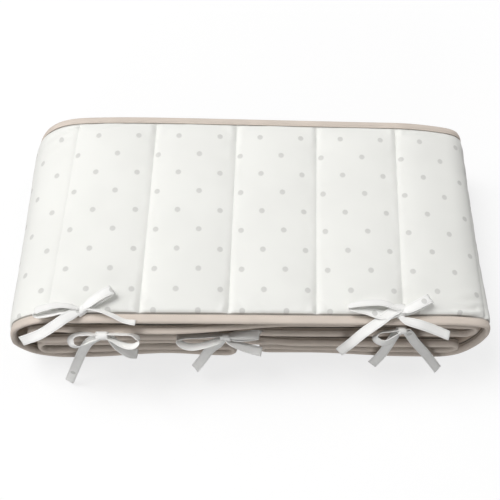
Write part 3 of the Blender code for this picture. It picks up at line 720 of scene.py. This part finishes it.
def smooth_rows(rows, step):
    """Rows spread evenly along a smooth curve through the rows given, and their lengths along it."""
    rows = np.array(rows, float)
    padded = np.vstack((2 * rows[0] - rows[1], rows, 2 * rows[-1] - rows[-2]))
    dense = []
    t = np.linspace(0, 1, TAPE_CURVE_STEPS, endpoint=False)[:, None]
    for a, b, c, d in zip(padded, padded[1:], padded[2:], padded[3:]):
        dense.append(cubic((b, b + (c - a) / 6, c - (d - b) / 6, c), t))
    dense = np.vstack((*dense, rows[-1:]))
    gone = np.linalg.norm(np.diff(dense[:, :3], axis=0), axis=1)
    gone = np.concatenate(([0.0], np.cumsum(gone)))
    marks = np.linspace(0, gone[-1], max(FEWEST_ROWS, round(gone[-1] / step)))
    return np.stack([np.interp(marks, gone, value) for value in dense.T], axis=1), marks


def tape_part(knot, strand):
    """One run of tape, a flat woven band gathered where it enters the knot, and its length."""
    stations = [[*(knot + MM * np.array(station[:3])), *station[3:]] for station in strand.stations]
    rows, gone = smooth_rows(stations, TAPE_STEP)
    middle, side = rows[:, :3], rows[:, 3:]
    ahead = np.gradient(middle, axis=0)
    ahead /= np.linalg.norm(ahead, axis=1)[:, None]
    side = side - ahead * np.sum(side * ahead, axis=1)[:, None]
    side /= np.linalg.norm(side, axis=1)[:, None]
    up = np.cross(ahead, side)
    shares, plump = np.array(TAPE_SECTION).T
    work, column, row, face = grid_slab(len(gone), len(shares))
    left = gone[-1] - gone
    near_knot = np.minimum(gone, left) if strand.kind == "loop" else gone
    gather = GATHERED + (1 - GATHERED) * np.clip(near_knot / GATHER_RUN, 0, 1) ** GATHER_CURVE
    cup = CUP * np.sin(gone / CUP_WAVE + len(strand.stations)) + CUP_BY_KNOT * (1 - gather)
    hem = (left < HEM_LENGTH) & (strand.kind == "tail")
    half = np.where(hem, HEM_HALF, TAPE_HALF)
    width = TAPE_WIDTH / 2 * gather
    out = (shares[row] ** 2 - CUP_MIDDLE) * cup[column] + face * plump[row] * half[column]
    places = middle[column] + side[column] * (shares[row] * width[column])[:, None]
    places = places + up[column] * out[:, None]
    cloth = np.stack((gone[column] - strand.dot * MM, shares[row] * TAPE_WIDTH / 2, face), axis=1)
    return (work, places, cloth), gone[-1]


def knot_part(knot, bow):
    """The turn of tape that holds a bow: a short barrel round its axis, with folded edges."""
    axis = np.array(bow.axis, float) / np.linalg.norm(bow.axis)
    over = np.cross(axis, (0, -0.3, 1))
    over /= np.linalg.norm(over)
    out = np.cross(axis, over)
    half_length, radius, depth = (size * MM for size in bow.size)
    shares, reach = np.array(KNOT_SECTION).T
    work, column, row = grid_ring(KNOT_COLUMNS, len(shares))
    angle = column / KNOT_COLUMNS * 2 * np.pi
    # Three long creases and five short ones run over it, and its ends are a little uneven.
    long_creases = 0.03 * np.sin(3 * angle + 1.5 * shares[row])
    short_creases = 0.025 * np.sin(5 * angle - 3 * shares[row])
    around = reach[row] * (1 + long_creases + short_creases)
    wide = half_length * (0.86 + 0.08 * np.cos(2 * angle + 0.6) + 0.04 * np.sin(3 * angle))
    places = (knot + axis * (shares[row] * wide)[:, None]
              + over * (np.cos(angle) * radius * around)[:, None]
              + out * (np.sin(angle) * depth * around)[:, None])
    cloth = (KNOT_DOT_CLEAR + angle * radius, shares[row] * KNOT_CLOTH_HALF, np.ones(len(angle)))
    return work, places, np.stack(cloth, axis=1)


def tie_parts(bow):
    """A bow's knot and strands, and the length of tape in it."""
    knot = np.array(bow.knot) + ORIGIN
    parts, total = [knot_part(knot, bow)], 0.0
    for strand in bow.strands:
        part, length = tape_part(knot, strand)
        parts.append(part)
        total += length
    return parts, total


# ---------------------------------------------------------------- finishes

class Wire:
    """A value in a material's nodes, with the usual arithmetic."""

    def __init__(self, tree, socket):
        self.tree, self.socket = tree, socket

    def math(self, operation, *values):
        node = self.tree.nodes.new("ShaderNodeMath")
        node.operation = operation
        for socket, value in zip(node.inputs, values):
            plug(self.tree, socket, value)
        return Wire(self.tree, node.outputs[0])

    def __add__(self, other):
        return self.math("ADD", self, other)

    def __sub__(self, other):
        return self.math("SUBTRACT", self, other)

    def __rsub__(self, other):
        return self.math("SUBTRACT", other, self)

    def __mul__(self, other):
        return self.math("MULTIPLY", self, other)

    def __truediv__(self, other):
        return self.math("DIVIDE", self, other)

    def __pow__(self, other):
        return self.math("POWER", self, other)

    def __abs__(self):
        return self.math("ABSOLUTE", self)

    def __lt__(self, other):
        return self.math("LESS_THAN", self, other)

    def __gt__(self, other):
        return self.math("GREATER_THAN", self, other)

    def off_whole(self):
        """How far the value is from the nearest whole number, with its sign."""
        return self - self.math("FLOOR", self + 0.5)

    def fade(self, start, end):
        """1 at start and 0 at end, smooth between them."""
        node = self.tree.nodes.new("ShaderNodeMapRange")
        node.interpolation_type = "SMOOTHSTEP"
        for socket, value in zip(node.inputs, (self, start, end, 1.0, 0.0)):
            plug(self.tree, socket, value)
        return Wire(self.tree, node.outputs[0])

    __radd__, __rmul__ = __add__, __mul__


def plug(tree, socket, value):
    """Sets a socket to a plain value, or links it."""
    if isinstance(value, Wire):
        tree.links.new(value.socket, socket)
    else:
        socket.default_value = value


class Finish:
    """A material whose pattern follows its cloth."""

    def __init__(self, name, roughness):
        self.material = bpy.data.materials.new(name)
        self.material.use_nodes = True
        self.tree = self.material.node_tree
        self.shader = self.tree.nodes["Principled BSDF"]
        self.shader.inputs["Roughness"].default_value = roughness
        cloth = self.node("ShaderNodeAttribute", {}, "Vector", attribute_name="cloth")
        split = self.tree.nodes.new("ShaderNodeSeparateXYZ")
        plug(self.tree, split.inputs[0], cloth)
        self.cloth = cloth
        self.along, self.across, self.side = (Wire(self.tree, output) for output in split.outputs)

    def node(self, kind, values, output=0, **settings):
        """Any other node: its type, the values or links of its sockets, and its settings."""
        node = self.tree.nodes.new(kind)
        for key, value in settings.items():
            setattr(node, key, value)
        for key, value in values.items():
            plug(self.tree, node.inputs[key], value)
        return Wire(self.tree, node.outputs[output])

    def noise(self, scale, detail=2.0, stretch=(1, 1, 1)):
        """Soft noise that follows the cloth."""
        vector = self.node("ShaderNodeMapping", {"Vector": self.cloth, "Scale": stretch})
        return self.node("ShaderNodeTexNoise", {"Vector": vector, "Scale": scale, "Detail": detail})

    def mix(self, share, first, second):
        """The first colour at share 0, the second at share 1."""
        values = {"Factor": share, 6: first, 7: second}
        return self.node("ShaderNodeMix", values, 2, data_type="RGBA")

    def weave(self, pitch):
        """A plain weave: threads that pass over and under each other."""
        warp = self.node("ShaderNodeMath", {0: self.along * (2 * math.pi / pitch)}, operation="SINE")
        weft = self.node("ShaderNodeMath", {0: self.across * (2 * math.pi / pitch)}, operation="SINE")
        return warp * weft * 0.5 + 0.5

    def dots(self):
        """1 on the printed dots of a staggered lattice, and 0 between them."""
        n = (self.along - FIRST_DOT[0]) / DOT_PITCH
        m = (self.across - FIRST_DOT[1]) / DOT_PITCH
        a, b = ((n + m) * 0.5).off_whole(), ((n - m) * 0.5).off_whole()
        away = (a * a + b * b) ** 0.5 * (math.sqrt(2) * DOT_PITCH)
        ragged = (self.noise(900.0) - 0.5) * DOT_RAGGED
        return (away + ragged).fade(DOT_RADIUS - DOT_BLUR[0], DOT_RADIUS + DOT_BLUR[1])

    def stitches(self, gap, line, length=STITCH):
        """Sewn stitches: 1 on the thread, from the gap to their line and the place along it."""
        dashes = abs((line / length).off_whole()) < STITCH_SHARE
        return gap.fade(0.0002, 0.0005) * dashes

    def finish(self, colour, heights):
        """Sets the colour and the bumps: each one's height, its strength and how high 1 stands."""
        plug(self.tree, self.shader.inputs["Base Color"], colour)
        normal = None
        for height, strength, distance in heights:
            values = {"Strength": strength, "Distance": distance, "Height": height}
            if normal is not None:
                values["Normal"] = normal
            normal = self.node("ShaderNodeBump", values)
        plug(self.tree, self.shader.inputs["Normal"], normal)
        return self.material


def opaque(colour, factor=1.0):
    """A colour, lighter or darker by a factor, as a socket takes it."""
    return (*(channel * factor for channel in colour), 1.0)


def quilt_finish(looks):
    """White cotton with grey dots on the face, and beige cotton on the back painted darker and warmer as
    shade inside the pile; sewn across, with painted shade in the groove by the binding's lip.
    """
    cloth = Finish("white_quilt", 0.86)
    patches = cloth.noise(14.0).fade(0.35, 0.65)
    face = cloth.mix(patches, opaque(looks.white), opaque(looks.white, 0.975))
    printed = cloth.dots() * (0.82 + 0.18 * cloth.noise(1500.0))
    face = cloth.mix(printed, face, opaque(looks.dots))
    # The back is beige cotton, painted darker and warmer than the binding as shade inside the pile.
    back = cloth.mix(patches, opaque(looks.lining_and_shade), opaque(looks.lining_and_shade, 0.95))
    colour = cloth.mix(cloth.side > 0.0, face, back)
    sewn = cloth.along + cloth.across * SEAM_SLANT - FIRST_SEAM
    to_seam = abs((sewn / CHANNEL_PITCH).off_whole()) * CHANNEL_PITCH
    # Painted shade: the cloth darkens within about a millimetre of the binding's lip, where the groove
    # lies, more at the front than at the back.
    to_lip = LIP_WIDTH - abs(cloth.across)
    groove_shade_strength = GROOVE_SHADE_FRONT - (GROOVE_SHADE_FRONT - GROOVE_SHADE_BACK) * (cloth.across > 0.0)
    groove = to_lip.fade(0.0002, 0.0012) * groove_shade_strength
    colour = cloth.mix(groove, colour, opaque(looks.beige, GROOVE_SHADE))
    thread = cloth.stitches(to_seam, cloth.across)
    puckers = cloth.noise(150.0, stretch=(0.35, 1, 1)) * to_seam.fade(0.002, 0.014)
    slubs = cloth.noise(420.0, stretch=(1, 0.18, 1))
    return cloth.finish(colour, (
        (puckers, 0.35, 0.0012), (slubs, 0.10, 0.0004), (cloth.weave(WEAVE_PITCH), 0.12, WEAVE_BUMP),
        (to_seam.fade(0.0003, 0.0012), 0.5, -0.0006), (thread, 0.4, THREAD_BUMP)))


def band_finish(looks):
    """Plain beige cotton, folded over the edge and sewn along both lips, with painted shade along the
    lips.
    """
    cloth = Finish("beige_band", 0.84)
    patches = cloth.noise(30.0, stretch=(1, 2, 1)).fade(0.3, 0.7)
    colour = cloth.mix(patches, opaque(looks.beige), opaque(looks.beige, 0.93))
    from_line = abs(cloth.across - BAND_SEWN)
    thread = cloth.stitches(from_line, cloth.along)
    colour = cloth.mix(thread * 0.6, colour, opaque(looks.beige, 1.08))
    # Painted shade: the band darkens along its lip, beside the groove where it meets the pad.
    lip = (BAND_WIDTH - cloth.across).fade(0.0002, 0.0009)
    colour = cloth.mix(lip * 0.6, colour, opaque(looks.beige, GROOVE_SHADE))
    drawn = cloth.noise(260.0, stretch=(1, 0.3, 1)) * from_line.fade(0.0005, 0.0045)
    slubs = cloth.noise(500.0, stretch=(0.2, 1, 1))
    return cloth.finish(colour, (
        (drawn, 0.4, 0.0008), (slubs, 0.12, 0.0003), (cloth.weave(WEAVE_PITCH), 0.12, WEAVE_BUMP),
        (thread, 0.4, THREAD_BUMP)))


def tape_finish(looks):
    """White cotton tape, sewn along both edges, with a dot of the print here and there and painted shade
    in its sewn grooves.
    """
    cloth = Finish("white_tape", 0.84)
    patches = cloth.noise(60.0).fade(0.35, 0.65)
    colour = cloth.mix(patches, opaque(looks.tape), opaque(looks.tape, 0.965))
    from_dot = (cloth.along ** 2.0 + cloth.across ** 2.0) ** 0.5
    printed = from_dot.fade(DOT_RADIUS - TAPE_DOT_BLUR[0], DOT_RADIUS + TAPE_DOT_BLUR[1])
    colour = cloth.mix(printed * 0.85, colour, opaque(looks.dots))
    from_line = abs(abs(cloth.across) - TAPE_SEWN)
    thread = cloth.stitches(from_line, cloth.along, TAPE_STITCH)
    groove = from_line.fade(0.0002, 0.0009)
    # Painted shade: the colour darkens in the sewn grooves, which are also pressed in as a bump.
    colour = cloth.mix(groove * 0.35, colour, opaque(looks.tape, 0.80))
    return cloth.finish(colour, (
        (groove, 0.6, -0.0005), (thread, 0.4, THREAD_BUMP),
        (cloth.weave(TAPE_WEAVE_PITCH), 0.12, WEAVE_BUMP), (cloth.noise(700.0), 0.12, 0.0003)))


# ---------------------------------------------------------------- settings

class BumperLooks(bpy.types.PropertyGroup):
    """Colours of the bumper's cloths."""

    white: bpy.props.FloatVectorProperty(
        name="White cotton", description="Colour of the strip's face", subtype="COLOR",
        size=3, min=0.0, max=1.0, default=(0.86, 0.86, 0.825))
    dots: bpy.props.FloatVectorProperty(
        name="Printed dots", description="Colour of the dots", subtype="COLOR",
        size=3, min=0.0, max=1.0, default=(0.64, 0.635, 0.61))
    beige: bpy.props.FloatVectorProperty(
        name="Beige cotton", description="Colour of the binding", subtype="COLOR",
        size=3, min=0.0, max=1.0, default=(0.700, 0.616, 0.543))
    # The strip's back: beige cotton, painted darker and warmer than the binding as shade for the hollows
    # of the pile.
    lining_and_shade: bpy.props.FloatVectorProperty(
        name="Lining", description="Colour of the strip's back", subtype="COLOR",
        size=3, min=0.0, max=1.0, default=(0.60, 0.505, 0.425))
    tape: bpy.props.FloatVectorProperty(
        name="White tape", description="Colour of the ties", subtype="COLOR",
        size=3, min=0.0, max=1.0, default=(0.93, 0.925, 0.905))


class BumperStage(bpy.types.PropertyGroup):
    """The floor and the light round the bumper."""

    floor_size: bpy.props.FloatProperty(
        name="Floor", description="Width of the floor", unit="LENGTH", default=8.0)
    key_power: bpy.props.FloatProperty(
        name="Key light", description="Power of the large soft light above", unit="POWER", default=172.0)
    sky: bpy.props.FloatProperty(
        name="Sky", description="Brightness of the even light from all round", default=0.155)


def ride_on_root(piece, node):
    """Fixes a piece to the part's one body, in the place of its solid."""
    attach(piece, "root")
    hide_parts(node)


class BUMPER_OT_pad(bpy.types.Operator):
    """Makes the quilted strip, folded up"""

    bl_idname = "bumper.pad"
    bl_label = "Quilted pad"

    def execute(self, context):
        panel = blown_up_panel()
        finish = quilt_finish(context.scene.bumper_looks)
        piece = add_piece("quilted_pad", pad_parts(Strip(INSIDE + OUTSIDE + UNDERNEATH), panel), finish)
        ride_on_root(piece, "pad")
        return {"FINISHED"}


class BUMPER_OT_band(bpy.types.Operator):
    """Makes the band that is folded over the edge of the strip all the way round"""

    bl_idname = "bumper.band"
    bl_label = "Bound edge"

    def execute(self, context):
        finish = band_finish(context.scene.bumper_looks)
        piece = add_piece("bound_edge", band_parts(Strip(INSIDE + OUTSIDE + UNDERNEATH)), finish)
        ride_on_root(piece, "edge_band")
        return {"FINISHED"}


class BUMPER_OT_ties(bpy.types.Operator):
    """Makes the bows of tape along the front edge"""

    bl_idname = "bumper.ties"
    bl_label = "Ties"

    def execute(self, context):
        finish = tape_finish(context.scene.bumper_looks)
        for bow in BOWS:
            parts, length = tie_parts(bow)
            piece = add_piece(bow.name + "_bow", parts, finish)
            ride_on_root(piece, bow.name)
            length + KNOT_TAPE
        return {"FINISHED"}


class BUMPER_OT_stage(bpy.types.Operator):
    """Makes the floor, the lights and the camera"""

    bl_idname = "bumper.stage"
    bl_label = "Floor, lights and camera"

    def execute(self, context):
        stage = context.scene.bumper_stage
        add_floor(stage.floor_size)
        for name, place, width, share in LAMPS:
            add_light(name, place, width, stage.key_power * share)
        context.scene.world = studio(stage.sky)
        context.scene.view_settings.view_transform = "Standard"
        add_camera()
        return {"FINISHED"}


def studio(sky):
    """Even light from above, less of it from below, and a pale wall all round."""
    world = bpy.data.worlds.new("studio")
    world.use_nodes = True
    tree = world.node_tree
    places = tree.nodes.new("ShaderNodeTexCoord")
    split = tree.nodes.new("ShaderNodeSeparateXYZ")
    tree.links.new(places.outputs["Generated"], split.inputs[0])
    light = 1.0 - Wire(tree, split.outputs["Z"]).fade(*HORIZON) * (1.0 - BELOW_SHARE)
    seen = Wire(tree, tree.nodes.new("ShaderNodeLightPath").outputs["Is Camera Ray"])
    background = tree.nodes["Background"]
    background.inputs["Color"].default_value = WHITE
    plug(tree, background.inputs["Strength"], seen * PALE_WALL + (1.0 - seen) * light * sky)
    return world


def add_floor(size):
    """A pale floor with a little light of its own, which throws none on the bumper."""
    mesh = bpy.data.meshes.new("floor")
    work = bmesh.new()
    bmesh.ops.create_grid(work, x_segments=1, y_segments=1, size=size / 2)
    work.to_mesh(mesh)
    work.free()
    floor = bpy.data.objects.new("floor", mesh)
    floor.visible_diffuse = False
    material = bpy.data.materials.new("pale_floor")
    material.use_nodes = True
    shader = material.node_tree.nodes["Principled BSDF"]
    shader.inputs["Base Color"].default_value = FLOOR_COLOUR
    shader.inputs["Roughness"].default_value = FLOOR_ROUGHNESS
    shader.inputs["Emission Color"].default_value = WHITE
    shader.inputs["Emission Strength"].default_value = FLOOR_GLOW
    mesh.materials.append(material)
    bpy.context.scene.collection.objects.link(floor)


def add_light(name, place, size, power):
    """A large soft lamp that points at the middle of the bumper."""
    lamp = bpy.data.lights.new(name, "AREA")
    lamp.energy = power
    lamp.size = size
    light = bpy.data.objects.new(name, lamp)
    light.location = place
    light.rotation_euler = (-Vector(place)).to_track_quat("-Z", "Y").to_euler()
    bpy.context.scene.collection.objects.link(light)


def add_camera():
    """The camera at the photograph's place and angle."""
    lens = bpy.data.cameras.new("camera")
    lens.sensor_width = SENSOR_WIDTH
    lens.lens = CAMERA_LENS
    camera = bpy.data.objects.new("camera", lens)
    turned = (Matrix.Rotation(CAMERA_YAW, 4, "Z")
              @ Matrix.Rotation(math.pi / 2 - CAMERA_PITCH, 4, "X")
              @ Matrix.Rotation(CAMERA_ROLL, 4, "Z"))
    camera.matrix_world = Matrix.Translation(Vector(CAMERA_PLACE) + Vector(ORIGIN)) @ turned
    bpy.context.scene.collection.objects.link(camera)
    bpy.context.scene.camera = camera


class BUMPER_PT_panel(bpy.types.Panel):
    """The bumper's pieces and settings in the sidebar"""

    bl_idname = "BUMPER_PT_panel"
    bl_label = "Crib bumper"
    bl_space_type = "VIEW_3D"
    bl_region_type = "UI"
    bl_category = "Bumper"

    def draw(self, context):
        for settings in (context.scene.bumper_looks, context.scene.bumper_stage):
            for name in settings.__annotations__:
                self.layout.prop(settings, name)
        for operator in OPERATORS:
            self.layout.operator(operator.bl_idname)


OPERATORS = (BUMPER_OT_pad, BUMPER_OT_band, BUMPER_OT_ties, BUMPER_OT_stage)
CLASSES = (BumperLooks, BumperStage, *OPERATORS, BUMPER_PT_panel)


def register():
    for item in CLASSES:
        bpy.utils.register_class(item)
    bpy.types.Scene.bumper_looks = bpy.props.PointerProperty(type=BumperLooks)
    bpy.types.Scene.bumper_stage = bpy.props.PointerProperty(type=BumperStage)


def unregister():
    del bpy.types.Scene.bumper_looks
    del bpy.types.Scene.bumper_stage
    for item in reversed(CLASSES):
        bpy.utils.unregister_class(item)


def main():
    """Makes every piece and the stage."""
    register()
    bpy.ops.bumper.pad()
    bpy.ops.bumper.band()
    bpy.ops.bumper.ties()
    bpy.ops.bumper.stage()


if __name__ == "__main__":
    main()
